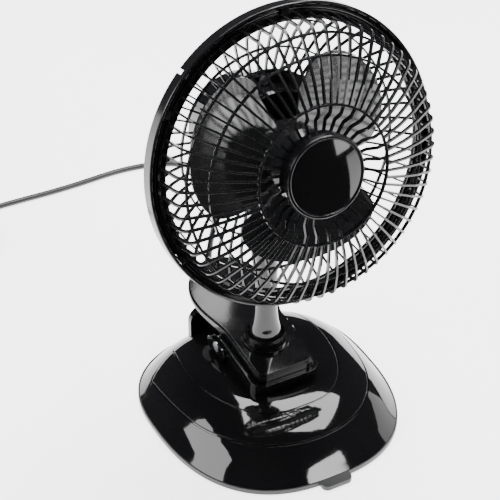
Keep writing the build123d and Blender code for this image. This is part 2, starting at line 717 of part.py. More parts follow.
def make_upper_jaw():
    low = JAW_TOP - JAW_DEPTH
    step = JAW_TOP - JAW_STEP_DEPTH
    under = JAW_TOP - JAW_PLATE
    jaw = Pos(0, 0, low) * extrude(jaw_outline(0), step - low)
    jaw += Pos(0, 0, step) * extrude(jaw_outline(-JAW_STEP), JAW_STEP_DEPTH)
    jaw -= Pos(0, 0, low) * extrude(jaw_outline(-JAW_WALL), under - low)
    nose = Pos(0, 0, low) * extrude(jaw_outline(-JAW_WALL / 2), under - low)
    jaw += nose & block((-FAR, FAR), (-FAR, SHELF_BACK), (low, under))
    lip = under - HANDLE_LIP
    taper = [(WALL_TAPER_FROM, low - 1), (WALL_TAPER_FROM, low), (WALL_TAPER_TO, lip)]
    jaw -= side_slab(taper + [(FAR, lip), (FAR, low - 1)], -FAR, FAR)
    for side in (-1, 1):
        low_x = EAR_INNER_X if side > 0 else -EAR_INNER_X - INNER_EAR_THICK
        ear = side_slab(ear_profile(under), low_x, low_x + INNER_EAR_THICK)
        ear += rod_x(INNER_EAR_RADIUS, low_x, low_x + INNER_EAR_THICK, 0, 0)
        jaw += ear
    jaw -= pad_block(PAD_REACH, low, low + PAD_THICK)
    jaw = in_jaw(jaw)
    jaw += disc(SWIVEL_BOSS_RADIUS, SWIVEL_BOSS_FLOOR, COLLAR_FLOOR, y=NECK_Y)
    jaw -= disc(SPIGOT_RADIUS + RUN_CLEAR, 0, COLLAR_TOP, y=NECK_Y)
    jaw -= disc(SWIVEL_BOSS_RADIUS, COLLAR_FLOOR, COLLAR_TOP, y=NECK_Y)
    return jaw - rod_x(PIN_RADIUS + RUN_CLEAR, -FAR, FAR, PIN_Y, PIN_Z)


def ear_profile(top):
    r = INNER_EAR_RADIUS
    return [(-r, 0), (r, 0), (r + EAR_ROOT, top), (-r - EAR_ROOT, top)]


def make_collar():
    """Stepped ring round the neck's foot, its underside cut by the sloping plate."""
    collar = ring(COLLAR_RADIUS, COLLAR_BORE, PIN_Z, COLLAR_TOP - COLLAR_STEP)
    collar += ring(COLLAR_RADIUS - COLLAR_STEP, COLLAR_BORE, PIN_Z, COLLAR_TOP)
    collar = Pos(0, NECK_Y, 0) * collar
    foot_y = (NECK_Y - PIN_Y) / cos(slope) + JAW_TOP * tan(slope)
    flange = Pos(0, foot_y, 0) * disc(COLLAR_FLANGE_RADIUS, JAW_TOP, JAW_TOP + COLLAR_FLANGE_THICK)
    collar += in_jaw(flange)
    collar -= in_jaw(block((-FAR, FAR), (-FAR, FAR), (-FAR, JAW_TOP)))
    return collar - disc(COLLAR_BORE, 0, COLLAR_TOP + 1, y=NECK_Y)


# ---------------------------------------------------------------- neck
def make_neck():
    top = FORK_FLOOR_Z - FORK_FOOT
    flare_top = COLLAR_TOP + NECK_FLARE
    profile = Line((NECK_FOOT_RADIUS, NECK_FOOT_Z), (NECK_FOOT_RADIUS, COLLAR_TOP))
    waist_point = (NECK_RADIUS + NECK_WAIST_OUT, COLLAR_TOP + NECK_FLARE * NECK_WAIST_SHARE)
    waist = Spline(profile @ 1, waist_point, (NECK_RADIUS, flare_top), tangents=[(-0.05, 1), (0, 1)])
    post = Line(waist @ 1, (NECK_RADIUS, top - NECK_SHOULDER))
    cone = Line(post @ 1, (FORK_OUTER, top))
    head = Line(cone @ 1, (FORK_OUTER, FORK_FLOOR_Z))
    close = Polyline(head @ 1, (0, FORK_FLOOR_Z), (0, NECK_FOOT_Z), profile @ 0)
    neck = revolve(Plane.XZ * make_face([profile, waist, post, cone, head, close]), Axis.Z)
    spigot_low = SWIVEL_BOSS_FLOOR - BODY_GAP
    neck += disc(SPIGOT_RADIUS, spigot_low, NECK_FOOT_Z)
    neck -= disc(NECK_BORE, COLLAR_TOP + SLOT_RISE + SLOT_HEIGHT, FORK_FLOOR_Z)
    neck -= disc(SWIVEL_SCREW_RADIUS, spigot_low, COLLAR_TOP + SLOT_RISE)
    cheek = [(-FORK_RADIUS, FORK_FLOOR_Z - 1), (FORK_RADIUS, FORK_FLOOR_Z - 1), (FORK_RADIUS, PIVOT_Z),
             (-FORK_RADIUS, PIVOT_Z)]
    for low in (-FORK_OUTER, FORK_INNER):
        neck += side_slab(cheek, low, low + FORK_CHEEK) & disc(FORK_OUTER + FORK_RADIUS, 0, PIVOT_Z)
        neck += rod_x(FORK_RADIUS, low, low + FORK_CHEEK, 0, PIVOT_Z)
    neck -= rod_x(TILT_BOLT_RADIUS, -FAR, FAR, 0, PIVOT_Z)
    recess = Rot(0, 0, SLOT_TURN) * Pos(0, -NECK_FOOT_RADIUS, COLLAR_TOP + SLOT_RISE) * Rot(90, 0, 0)
    oval = extrude(Ellipse(SLOT_WIDTH / 2, SLOT_HEIGHT / 2), SLOT_DEPTH, both=True)
    neck -= recess * oval
    return Pos(0, NECK_Y, 0) * neck


def make_swivel_washer():
    top = SWIVEL_BOSS_FLOOR - BODY_GAP
    return Pos(0, NECK_Y, 0) * ring(SWIVEL_WASHER_RADIUS, SWIVEL_SCREW_RADIUS, top - SWIVEL_WASHER_THICK, top)


def make_swivel_screw():
    seat = SWIVEL_BOSS_FLOOR - BODY_GAP - SWIVEL_WASHER_THICK
    screw = disc(SWIVEL_HEAD_RADIUS, seat - SWIVEL_HEAD_THICK, seat, y=NECK_Y)
    return screw + disc(SWIVEL_SCREW_RADIUS, seat, COLLAR_TOP + SLOT_RISE - SLOT_HEIGHT, y=NECK_Y)


def make_tilt_bolt():
    bolt = rod_x(TILT_BOLT_RADIUS, -FORK_OUTER, FORK_OUTER + KNOB_THICK / 2, NECK_Y, PIVOT_Z)
    return bolt + rod_x(TILT_HEAD_RADIUS, -FORK_OUTER - TILT_HEAD_THICK, -FORK_OUTER, NECK_Y, PIVOT_Z)


def make_tilt_knob():
    """Lobed hand nut on the bolt's right-hand end."""
    knob = disc(KNOB_RADIUS, 0, KNOB_THICK)
    scallop = disc(KNOB_RADIUS / 3, -1, KNOB_THICK + 1, x=KNOB_RADIUS + KNOB_RADIUS / 6)
    knob -= around(KNOB_LOBES, scallop)
    knob -= disc(TILT_BOLT_RADIUS, 0, KNOB_THICK / 2)
    return Pos(FORK_OUTER, NECK_Y, PIVOT_Z) * Rot(0, 90, 0) * knob


# ---------------------------------------------------------------- head: grilles
def radial_rib(line, offset, thick, rounds=()):
    """Upright rib in the XZ plane between an open line of (r, z) points and its offset copy."""
    copy = offset_line(line, offset)
    face = make_face(Polyline(*(line + copy[::-1]), close=True))
    for corner, radius in rounds:
        near = face.vertices().sort_by_distance(corner)[0]
        face = fillet(near, radius)
    return extrude(Plane.XZ * face, thick / 2, both=True)


def grille_ring(radius, width, top, thick):
    return ring(radius, radius - width, top - thick, top)


def hump(outer, inner, top, drop):
    """Rounded top of a raised band, as (r, z) points from its outer side to its inner side."""
    middle = (outer + inner) / 2
    half = (outer - inner) / 2
    turns = [radians(angle) for angle in range(0, 181, 30)]
    return [(middle + half * cos(turn), top - drop + drop * sin(turn)) for turn in turns]


def rim_section():
    """Outline of the front ring's section: skirt, lip, channel, bead, ledge, flange and inner lip."""
    points = [(RIM_RADIUS, RIM_REAR_Z)]
    points += hump(RIM_RADIUS, CHANNEL_OUTER, LIP_TOP, LIP_DROP)
    points += [(CHANNEL_OUTER, CHANNEL_Z), (BEAD_OUTER, CHANNEL_Z)]
    points += hump(BEAD_OUTER, BEAD_INNER, BEAD_TOP, BEAD_DROP)
    points += [(BEAD_INNER, GROOVE_Z), (LEDGE_OUTER, GROOVE_Z), (LEDGE_OUTER, LEDGE_TOP)]
    points += [(LEDGE_INNER, LEDGE_TOP), (LEDGE_INNER, FLANGE_Z), (FLANGE_INNER, FLANGE_Z + FLANGE_RISE)]
    points += [(FLANGE_INNER, INNER_LIP_TOP), (RING_INNER, INNER_LIP_TOP), (RING_INNER, INNER_LIP_BACK)]
    points += [(RING_INNER + UNDER_BEVEL, RIM_UNDER_Z)]
    return points + [(RIM_RADIUS - RIM_WALL, RIM_UNDER_Z), (RIM_RADIUS - RIM_WALL, RIM_REAR_Z)]


def front_line(inner):
    """Front edge of a rib from the ledge over the shoulder to radius `inner`."""
    middle = ((RING3_RADIUS + RING4_RADIUS) / 2, (RING3_Z + RING4_Z) / 2 + RIB_BOW)
    return [(RIB_FOOT_RADIUS, RIB_FOOT_Z), (SHOULDER_RADIUS, SHOULDER_Z), (RING2_RADIUS, RING2_Z),
            (RING3_RADIUS, RING3_Z), middle, (inner, RING4_Z)]


def front_rib(line):
    outer, inner = line[1], offset_line(line, -RIB_DEPTH)[1]
    rounds = [(outer, SHOULDER_ROUND), (inner, SHOULDER_ROUND - RIB_DEPTH)]
    return radial_rib(line, -RIB_DEPTH, RIB_THICK, rounds)


def front_hub():
    """Cup in the middle of the face, with a rounded rim and a low ledge round it."""
    hub = ring(HUB_RADIUS, HUB_RADIUS - HUB_WALL, HUB_BACK, HUB_TOP)
    hub = fillet(hub.edges().group_by(Axis.Z)[-1], HUB_ROUND)
    hub += disc(HUB_RADIUS - HUB_WALL / 2, HUB_BACK, HUB_BACK + HUB_FLOOR)
    ledge_width = HUB_LEDGE_OUT + HUB_WALL / 2
    return hub + grille_ring(HUB_RADIUS + HUB_LEDGE_OUT, ledge_width, HUB_LEDGE_Z, HUB_LEDGE_THICK)


def make_front_grille():
    short = front_rib(front_line(RING4_RADIUS - RING_WIDTH / 2))
    top = RING4_Z - RIB_STEP_FALL
    low = top - RIB_STEP_DEPTH
    long = front_rib(front_line(RING4_RADIUS) + [
        (RIB_STEP_RADIUS, top), (RIB_STEP_RADIUS - RIB_STEP_RUN, low),
        (HUB_RADIUS - HUB_WALL / 4, low - RIB_STEP_FALL)])
    pieces = around(RIB_COUNT // 2, long, RIB_FIRST)
    pieces += around(RIB_COUNT // 2, short, RIB_FIRST + 360 / RIB_COUNT)
    for radius, z in ((RING2_RADIUS, RING2_Z), (RING3_RADIUS, RING3_Z), (RING4_RADIUS, RING4_Z)):
        pieces.append(grille_ring(radius, RING_WIDTH, z, RING_THICK))
    grille = revolved(rim_section()).fuse(*(pieces + [front_hub()]))
    across = (CLIP_INNER - CLIP_PLAY, CLIP_INNER + CLIP_THICK + CLIP_PLAY)
    slot = block(across, (-CLIP_SLOT / 2, CLIP_SLOT / 2), (RIM_REAR_Z, CHANNEL_Z + 1))
    grille -= around(CLIP_COUNT, slot, CLIP_FIRST)
    notch = block((RIM_RADIUS - NOTCH_DEPTH, RIM_RADIUS + 1), (-NOTCH_LENGTH / 2, NOTCH_LENGTH / 2),
                  (RIM_REAR_Z - 1, NOTCH_TOP))
    return in_head(grille - Rot(0, 0, NOTCH_ANGLE) * notch)


def make_hub_cap():
    """Low glossy dome let into the hub's cup."""
    radius = HUB_RADIUS - HUB_WALL
    rim_z = HUB_TOP - CAP_SINK
    bow = (radius ** 2 + CAP_RISE ** 2) / (2 * CAP_RISE)
    ball = Pos(0, 0, rim_z + CAP_RISE - bow) * Sphere(bow)
    cap = disc(radius, HUB_BACK + HUB_FLOOR, rim_z + CAP_RISE) & ball
    return in_head(cap)


def make_clips():
    """Hooks that hold the two grilles together: each rises beside the rear band and reaches over the bead."""
    outer = CLIP_INNER + CLIP_THICK
    hook = block((CLIP_INNER, outer), (-CLIP_WIDTH / 2, CLIP_WIDTH / 2), (CLIP_LOW, CLIP_TOP))
    hook += block((outer - CLIP_HEAD_REACH, outer), (-CLIP_WIDTH / 2, CLIP_WIDTH / 2),
                  (CLIP_TOP - CLIP_HEAD_THICK, CLIP_TOP))
    return in_head(group(around(CLIP_COUNT, hook, CLIP_FIRST)))


def make_rear_grille():
    top = RIM_UNDER_Z - BODY_GAP
    inner = BAND_RADIUS - BAND_WIDTH
    bevel = BAND_RADIUS - BAND_BEVEL
    band = revolved([(BAND_RADIUS, top), (BAND_RADIUS, BAND_REAR_Z + BAND_BEVEL), (bevel, BAND_REAR_Z),
                     (inner, BAND_INNER_Z), (inner, top)])
    line = BACK_LINE + [(MOTOR_FLANGE_RADIUS + 2 * BODY_GAP, BACK_RIB_END_Z)]
    pieces = around(BACK_RIB_COUNT, radial_rib(line, BACK_RIB_DEPTH, BACK_RIB_THICK), BACK_RIB_FIRST)
    for radius, z in ((BACK_OUTER_RING, BACK_OUTER_RING_Z), (BACK_RING_RADIUS, BACK_RING_Z)):
        pieces.append(grille_ring(radius, BACK_RING_WIDTH, z, BACK_RING_THICK))
    pieces.append(ring(BACK_HUB_RADIUS, BACK_BORE, BACK_SEAT_Z, BACK_HUB_Z))
    grille = band.fuse(*pieces)
    screw = disc(HOUSING_SCREW_RADIUS, BACK_SEAT_Z, BACK_HUB_Z, x=HOUSING_SCREW_CIRCLE)
    grille -= around(HOUSING_SCREWS, screw, 90)
    return in_head(grille)


# ---------------------------------------------------------------- head: motor housing and what it holds
def bearing_boss(low, high):
    return ring(BEARING_RADIUS + BEARING_BOSS_WALL, BEARING_RADIUS, low, high)


def make_front_cover():
    face = MOTOR_FACE_Z
    flange = BACK_HUB_Z + MOTOR_FLANGE_THICK
    inner = MOTOR_RADIUS - MOTOR_WALL
    outside = [(BEARING_RADIUS, face), (MOTOR_RADIUS - MOTOR_BEVEL, face), (MOTOR_RADIUS, face - MOTOR_BEVEL),
               (MOTOR_RADIUS, flange), (MOTOR_FLANGE_RADIUS, flange), (MOTOR_FLANGE_RADIUS, BACK_HUB_Z)]
    cover = revolved(outside + [(inner, BACK_HUB_Z), (inner, face - MOTOR_WALL), (BEARING_RADIUS, face - MOTOR_WALL)])
    cover += bearing_boss(face - BEARING_LENGTH, face)
    hole = disc(HOUSING_SCREW_RADIUS, BACK_HUB_Z, flange, x=HOUSING_SCREW_CIRCLE)
    return in_head(cover - around(HOUSING_SCREWS, hole, 90))


def cover_radius(z):
    """Outside radius of the rear cover at a station."""
    share = (BACK_SEAT_Z - z) / (BACK_SEAT_Z - COVER_BACK_Z)
    return COVER_RADIUS - (COVER_RADIUS - COVER_END_RADIUS) * share


def cover_body(flange):
    seat, back = BACK_SEAT_Z, COVER_BACK_Z
    turn = back + COVER_ROUND
    return revolved([(0, seat), (MOTOR_FLANGE_RADIUS, seat), (MOTOR_FLANGE_RADIUS, flange),
                     (cover_radius(flange), flange), (cover_radius(turn), turn),
                     (COVER_END_RADIUS - COVER_ROUND, back), (0, back)])


def cover_cavity(inner_back):
    seat = BACK_SEAT_Z
    return revolved([(0, seat), (cover_radius(seat) - COVER_WALL, seat),
                     (cover_radius(inner_back) - COVER_WALL, inner_back), (0, inner_back)])


def tilt_tongue(flange):
    """Lug under the cover that turns on the neck's bolt."""
    root_y = TONGUE_ROOT_SINK - COVER_END_RADIUS
    root_top = min(PIVOT_LOCAL_Z + TONGUE_ROOT_HALF, flange + 1)
    corners = [(PIVOT_LOCAL_Y, PIVOT_LOCAL_Z - TONGUE_RADIUS), (root_y, PIVOT_LOCAL_Z - TONGUE_ROOT_HALF),
               (root_y, root_top), (PIVOT_LOCAL_Y, PIVOT_LOCAL_Z + TONGUE_RADIUS)]
    tongue = side_slab(corners, -TONGUE_HALF, TONGUE_HALF)
    return tongue + rod_x(TONGUE_RADIUS, -TONGUE_HALF, TONGUE_HALF, PIVOT_LOCAL_Y, PIVOT_LOCAL_Z)


def stator_bar(inner_back):
    """Bar in the cover that the stator core slides into, with the ledge it rests on."""
    across = (-STATOR_BAR_WIDTH / 2, STATOR_BAR_WIDTH / 2)
    bar = block((STATOR_RADIUS, COVER_RADIUS), across, (inner_back, BACK_SEAT_Z))
    ledge_top = STATOR_Z - STATOR_THICK / 2
    return bar + block((STATOR_RADIUS - STATOR_LEDGE, COVER_RADIUS), across, (inner_back, ledge_top))


def rear_bearing_spider():
    low, high = REAR_BEARING_Z - BEARING_LENGTH / 2, REAR_BEARING_Z + BEARING_LENGTH / 2
    across = (-SPIDER_WIDTH / 2, SPIDER_WIDTH / 2)
    arm = block((-COVER_END_RADIUS, COVER_END_RADIUS), across, (low, REAR_BEARING_Z + 1))
    return bearing_boss(low, high) + [Rot(0, 0, angle) * arm for angle in (45, 135)]


def make_rear_cover():
    seat, back = BACK_SEAT_Z, COVER_BACK_Z
    flange = seat - COVER_FLANGE_THICK
    inner_back = back + COVER_WALL
    cavity = cover_cavity(inner_back)
    cover = cover_body(flange) + tilt_tongue(flange) - cavity
    cover -= rod_x(TILT_BOLT_RADIUS + RUN_CLEAR, -FAR, FAR, PIVOT_LOCAL_Y, PIVOT_LOCAL_Z)
    cover += [one & cavity for one in around(STATOR_BARS, stator_bar(inner_back), STATOR_BAR_FIRST)]
    cover += (rear_bearing_spider() & cavity) - disc(BEARING_RADIUS, back, seat)
    vent = block((VENT_INNER, VENT_OUTER), (-VENT_WIDTH / 2, VENT_WIDTH / 2), (back - 1, inner_back))
    cover -= around(VENT_COUNT, vent)
    cover -= disc(SWITCH_STEM_RADIUS + RUN_CLEAR, back - 1, inner_back)
    hole = disc(HOUSING_SCREW_RADIUS, flange, seat, x=HOUSING_SCREW_CIRCLE)
    return in_head(cover - around(HOUSING_SCREWS, hole, 90))


def make_cover_screws():
    seat = BACK_HUB_Z + MOTOR_FLANGE_THICK
    screw = disc(HOUSING_SCREW_HEAD, seat, seat + SCREW_HEAD_THICK, x=HOUSING_SCREW_CIRCLE)
    screw += disc(HOUSING_SCREW_RADIUS, seat - HOUSING_SCREW_LENGTH, seat, x=HOUSING_SCREW_CIRCLE)
    return in_head(group(around(HOUSING_SCREWS, screw, 90)))


def make_bearing(middle):
    half = BEARING_LENGTH / 2
    return in_head(ring(BEARING_RADIUS, SHAFT_RADIUS + RUN_CLEAR, middle - half, middle + half))


def front_bearing_z():
    return MOTOR_FACE_Z - BEARING_LENGTH / 2


def make_stator():
    low, high = STATOR_Z - STATOR_THICK / 2, STATOR_Z + STATOR_THICK / 2
    bore = ROTOR_RADIUS + AIR_GAP
    core = ring(STATOR_RADIUS, STATOR_RADIUS - YOKE, low, high)
    pole = block((ROTOR_RADIUS, STATOR_RADIUS - YOKE / 2), (-POLE_WIDTH / 2, POLE_WIDTH / 2), (low, high))
    core += around(POLE_COUNT, pole)
    return in_head(core - disc(bore, low - 1, high + 1))


def make_coils():
    low, high = STATOR_Z - STATOR_THICK / 2, STATOR_Z + STATOR_THICK / 2
    half = POLE_WIDTH / 2
    wide = half + COIL_THICK
    coil = block((COIL_INNER, COIL_OUTER), (-wide, wide), (low - COIL_THICK, high + COIL_THICK))
    coil -= block((COIL_INNER - 1, COIL_OUTER + 1), (-half, half), (low, high))
    return in_head(group(around(POLE_COUNT, coil)))


def make_switch():
    top = COVER_BACK_Z + COVER_WALL
    body = block((-SWITCH_HALF, SWITCH_HALF), (-SWITCH_HALF, SWITCH_HALF), (top, top + SWITCH_THICK))
    return in_head(body - disc(SWITCH_STEM_RADIUS + RUN_CLEAR, top, top + SWITCH_STEM_LENGTH - COVER_WALL))


def make_terminal():
    top = COVER_BACK_Z + COVER_WALL
    half = TERMINAL_SIZE / 2
    across = (TERMINAL_Y - half, TERMINAL_Y + half)
    return in_head(block((-TERMINAL_SIZE, TERMINAL_SIZE), across, (top, top + TERMINAL_SIZE)))


def make_dial():
    """Turning knob on the motor's back, with its grip bar and the stem that enters the switch."""
    top = COVER_BACK_Z - BODY_GAP
    low = top - KNOB_DIAL_THICK
    radius, face = KNOB_DIAL_RADIUS, low + KNOB_FACE_SINK
    dial = revolved([(0, top), (radius, top), (radius - 1, face + 1), (radius - 2, face), (0, face)])
    reach = radius - 2
    grip = block((-KNOB_GRIP_WIDTH / 2, KNOB_GRIP_WIDTH / 2), (-reach, reach), (low, face + 2))
    dial += grip + disc(SWITCH_STEM_RADIUS, top, COVER_BACK_Z + SWITCH_STEM_LENGTH - BODY_GAP)
    return in_head(dial)


# ---------------------------------------------------------------- rotor
def blade_section(x):
    """Thin curved strip across the blade, square to its middle line, at a distance from the axis."""
    half = BLADE_RADIUS
    slope_here = BLADE_SLOPE * (1 + BLADE_TWIST * (BLADE_RADIUS - x) / BLADE_RADIUS)

    def height(y):
        return slope_here * y + BLADE_CAMBER * (y / half) ** 2

    stations = [-half, -half / 2, 0, half / 2, half]
    lower = Spline(*[(y, height(y)) for y in stations])
    upper = Spline(*[(y, height(y) + BLADE_THICK) for y in stations])
    ends = [Line(lower @ 1, upper @ 1), Line(upper @ 0, lower @ 0)]
    frame = Plane(origin=(x, 0, BLADE_Z - BLADE_THICK / 2), x_dir=(0, 1, 0), z_dir=(1, 0, 0))
    return frame * make_face([lower, upper] + ends)


def polar(radius, angle):
    return radius * cos(radians(angle)), radius * sin(radians(angle))


def blade_outline():
    """Plan of a blade: a broad petal whose leading corner is rounder than its trailing one."""
    edge = Spline(*[polar(BLADE_RADIUS * share, angle) for angle, share in BLADE_OUTLINE])
    inner = BLADE_HUB_RADIUS - BLADE_HUB_WALL
    root = Line(polar(inner, BLADE_ROOT_SPAN), polar(inner, -BLADE_ROOT_SPAN))
    return make_face([edge, Line(edge @ 1, root @ 0), root, Line(root @ 1, edge @ 0)])


def blade_hub():
    front = BLADE_Z + BLADE_HUB_FRONT
    back = BLADE_Z + BLADE_HUB_BACK
    bevel = BLADE_HUB_BEVEL
    inner = BLADE_HUB_RADIUS - BLADE_HUB_WALL
    ceiling = front - BLADE_HUB_WALL
    boss_back = BLADE_Z + BLADE_BORE_BACK
    outside = [(SHAFT_RADIUS, front), (BLADE_HUB_RADIUS - bevel, front), (BLADE_HUB_RADIUS, front - bevel),
               (BLADE_HUB_RADIUS, back)]
    inside = [(inner, back), (inner, ceiling - bevel), (inner - bevel, ceiling), (BLADE_BORE_BOSS, ceiling),
              (BLADE_BORE_BOSS, boss_back), (SHAFT_RADIUS, boss_back)]
    return revolved(outside + inside)


def make_blades():
    stations = [BLADE_RADIUS * share for share in (0.0, 0.35, 0.7, 1.05)]
    slab = loft([blade_section(x) for x in stations])
    blade = slab & Pos(0, 0, -BLADE_RADIUS) * extrude(blade_outline(), 2 * BLADE_RADIUS)
    core = disc(BLADE_HUB_RADIUS - BLADE_HUB_WALL / 2, -BLADE_RADIUS, BLADE_RADIUS)
    fan = blade_hub().fuse(*[one - core for one in around(BLADE_COUNT, blade, BLADE_FIRST)])
    return in_head(fan)


def make_nut():
    seat = BLADE_Z + BLADE_HUB_FRONT
    nut = extrude(RegularPolygon(NUT_RADIUS, 6), NUT_LENGTH)
    return in_head(Pos(0, 0, seat) * nut - disc(SHAFT_RADIUS, seat, seat + NUT_LENGTH))


def make_shaft():
    front = BLADE_Z + BLADE_HUB_FRONT + NUT_LENGTH + SHAFT_PROUD
    return in_head(disc(SHAFT_RADIUS, SHAFT_BACK, front))


def make_rotor():
    half = STATOR_THICK / 2
    return in_head(ring(ROTOR_RADIUS, SHAFT_RADIUS, STATOR_Z - half, STATOR_Z + half))


def make_thrust_rings():
    front = front_bearing_z() - BEARING_LENGTH / 2 - BODY_GAP
    rear = REAR_BEARING_Z + BEARING_LENGTH / 2 + BODY_GAP
    rings = [ring(THRUST_RADIUS, SHAFT_RADIUS, front - THRUST_THICK, front),
             ring(THRUST_RADIUS, SHAFT_RADIUS, rear, rear + THRUST_THICK)]
    return in_head(group(rings))


# ---------------------------------------------------------------- cord
def make_relief():
    """Flexible guard that the cord leaves the base through."""
    x, tip = CORD_ROUTE[0][0], CORD_ROUTE[0][1]
    end = RELIEF_LENGTH + RELIEF_INSIDE
    relief = revolved([(0, 0), (RELIEF_TIP_RADIUS, 0), (RELIEF_ROOT_RADIUS, RELIEF_LENGTH - RELIEF_SHOULDER),
                       (RELIEF_ROOT_RADIUS, RELIEF_LENGTH), (RELIEF_NECK_RADIUS, RELIEF_LENGTH),
                       (RELIEF_NECK_RADIUS, end), (0, end)])
    for groove in range(RELIEF_GROOVES):
        low = RELIEF_GROOVE_PITCH * (groove + 0.6)
        relief -= ring(RELIEF_ROOT_RADIUS + 1, RELIEF_GROOVE_RADIUS, low, low + RELIEF_GROOVE_WIDTH)
    return Pos(x, tip, CORD_EXIT_Z) * Rot(90, 0, 0) * relief


def corner_radii(points):
    """Bend radius at each inner point: 0.45 of the shorter run over the tangent of half the turn."""
    radii = []
    for before, here, after in zip(points, points[1:], points[2:]):
        run_in = Vector(*here) - Vector(*before)
        run_out = Vector(*after) - Vector(*here)
        half_turn = radians(run_in.get_angle(run_out)) / 2
        radii.append(0.45 * min(run_in.length, run_out.length) / tan(half_turn))
    return radii


def make_cord():
    radii = corner_radii(CORD_ROUTE)
    path = FilletPolyline(*CORD_ROUTE, radius=radii)
    print("cord: bend radii", [round(r) for r in radii], "straight part", round(path.length), "mm")
    section = Plane(origin=path @ 0, z_dir=path % 0) * Circle(CORD_RADIUS)
    tube = sweep(section, path=path)
    print("cord: tube volume", round(tube.volume), "section x length", round(section.area * path.length))
    return tube


def coil_centre():
    """The coil's outer turn goes on from the cord's last run."""
    return COIL_X, CORD_ROUTE[-1][1] - COIL_OUTER_TURN


def make_coil():
    x, y = coil_centre()
    print("cord: turns", COIL_TURNS, "hold", round(COIL_TURNS * 2 * pi * COIL_MID_RADIUS), "mm")
    return Pos(x, y, 0) * revolve(Plane.XZ * coil_section(0), Axis.Z)


def coil_section(grow):
    section = RectangleRounded(COIL_ACROSS + 2 * grow, COIL_HEIGHT + 2 * grow, COIL_CORNER + grow)
    return Pos(COIL_MID_RADIUS, COIL_HEIGHT / 2 + COIL_LIFT) * section


def make_tie():
    """Band round the coil, on the side away from where the cord comes in."""
    x, y = coil_centre()
    angle = degrees(TIE_WIDTH / COIL_MID_RADIUS)
    band = Plane.XZ * (coil_section(TIE_THICK) - coil_section(0))
    return Pos(x, y, 0) * Rot(0, 0, -90 - angle / 2) * revolve(band, Axis.Z, angle)


def plug_place():
    x, y = coil_centre()
    return Pos(x - COIL_OUTER_TURN, y - PLUG_START, PLUG_THICK / 2 + COIL_LIFT)


def make_plug_body():
    """Two-pin plug: a tapered tail, then the body. It points towards -Y from the coil's side."""
    tail = Plane(origin=(0, 0, 0), z_dir=(0, -1, 0))
    tail = Solid.make_cone(CORD_RADIUS + PLUG_TAIL_STEP, CORD_RADIUS + PLUG_TAIL_ROOT, PLUG_TAIL, tail)
    face = Plane.XZ * RectangleRounded(PLUG_WIDTH, PLUG_THICK, PLUG_THICK / 4)
    body = Pos(0, -PLUG_TAIL, 0) * extrude(face, PLUG_LENGTH)
    return plug_place() * (body + tail)


def make_plug_blades():
    start = -PLUG_TAIL - PLUG_LENGTH
    blades = []
    for side in (-1, 1):
        x = side * PIN_SPACING / 2
        across = (x - PLUG_PIN_THICK / 2, x + PLUG_PIN_THICK / 2)
        height = (-PLUG_PIN_WIDTH / 2, PLUG_PIN_WIDTH / 2)
        blades.append(block(across, (start - PLUG_PIN_LENGTH, start), height))
    return plug_place() * group(blades)


# ---------------------------------------------------------------- every node
def main():
    outer = dome(0)
    nodes = {
        "bottom_plate": make_bottom_plate(),
        "base_feet": make_feet(),
        "base_screws": make_base_screws(),
        "base_weight": make_weight(),
        "base_shell": make_shell(outer),
        "lower_jaw": make_lower_jaw(outer),
        "jaw_screws": group(jaw_screw(x, y) for x, y in jaw_screw_places()),
        "lower_jaw_pad": in_jaw(pad_block(PAD_REACH, LOWER_TOP - PAD_THICK, LOWER_TOP)),
        "hinge_pin": make_pin(),
        "pin_cap": make_pin_cap(),
        "jaw_spring": make_spring(),
        "upper_jaw": make_upper_jaw(),
        "upper_jaw_pad": in_jaw(pad_block(PAD_REACH, JAW_TOP - JAW_DEPTH, JAW_TOP - JAW_DEPTH + PAD_THICK)),
        "collar_ring": make_collar(),
        "neck_post": make_neck(),
        "swivel_washer": make_swivel_washer(),
        "swivel_screw": make_swivel_screw(),
        "tilt_bolt": make_tilt_bolt(),
        "tilt_knob": make_tilt_knob(),
        "front_grille": make_front_grille(),
        "hub_cap": make_hub_cap(),
        "rim_clips": make_clips(),
        "rear_grille": make_rear_grille(),
        "motor_front_cover": make_front_cover(),
        "motor_rear_cover": make_rear_cover(),
        "cover_screws": make_cover_screws(),
        "front_bearing": make_bearing(front_bearing_z()),
        "rear_bearing": make_bearing(REAR_BEARING_Z),
        "stator_core": make_stator(),
        "stator_coils": make_coils(),
        "speed_switch": make_switch(),
        "terminal_block": make_terminal(),
        "speed_knob": make_dial(),
        "fan_blades": make_blades(),
        "blade_nut": make_nut(),
        "motor_shaft": make_shaft(),
        "rotor_core": make_rotor(),
        "thrust_rings": make_thrust_rings(),
        "strain_relief": make_relief(),
        "power_cord": make_cord(),
        "cord_coil": make_coil(),
        "coil_tie": make_tie(),
        "plug_body": make_plug_body(),
        "plug_blades": make_plug_blades(),
    }
    for name, shape in nodes.items():
        export_step(shape, f"parts/{name}.step")


main()
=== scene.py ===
import json
from math import cos, pi, radians, sin

